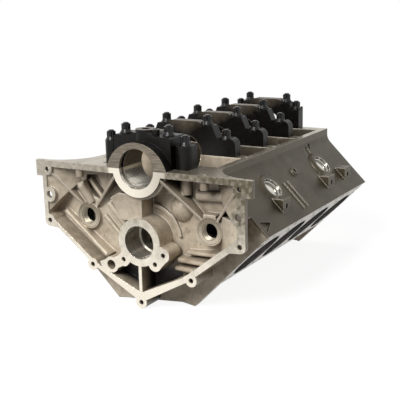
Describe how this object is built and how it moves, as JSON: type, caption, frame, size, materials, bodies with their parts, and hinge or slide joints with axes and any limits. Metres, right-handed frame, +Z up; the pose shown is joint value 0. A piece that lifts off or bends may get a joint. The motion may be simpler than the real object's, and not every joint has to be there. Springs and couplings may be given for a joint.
{
  "type": "engine block",
  "caption": "Bare vee engine block, upside down on its decks: aluminium casting with sleeves, cam bearings, core plugs and stud-held main caps.",
  "frame": {"origin": "crankshaft axis at the bellhousing face", "axes": "+X across the block to the right bank seen from the bellhousing end, +Y along the crankshaft to the front, +Z up with the oil pan rail on top, so the decks are underneath"},
  "size_m": [0.436, 0.516, 0.3224],
  "materials": {
    "cast_aluminium": "as cast, machined on the faces",
    "sleeve_iron": "bored",
    "cap_steel": "black oxide",
    "stud_steel": "black oxide",
    "bearing_metal": "bored",
    "plug_steel": "bright plated"
  },
  "bodies": {
    "root": {"block_casting": "cast_aluminium", "sleeve_left_1": "sleeve_iron", "sleeve_left_2": "sleeve_iron", "sleeve_left_3": "sleeve_iron", "sleeve_left_4": "sleeve_iron", "sleeve_right_1": "sleeve_iron", "sleeve_right_2": "sleeve_iron", "sleeve_right_3": "sleeve_iron", "sleeve_right_4": "sleeve_iron", "rear_main_cap": "cap_steel", "main_cap_2": "cap_steel", "main_cap_3": "cap_steel", "main_cap_4": "cap_steel", "front_main_cap": "cap_steel", "inner_studs": "stud_steel", "outer_studs": "stud_steel", "stud_nuts": "stud_steel", "stud_washers": "stud_steel", "cam_bearing_1": "bearing_metal", "cam_bearing_2": "bearing_metal", "cam_bearing_3": "bearing_metal", "cam_bearing_4": "bearing_metal", "cam_bearing_5": "bearing_metal", "core_plugs": "plug_steel"}
  },
  "joints": []
}
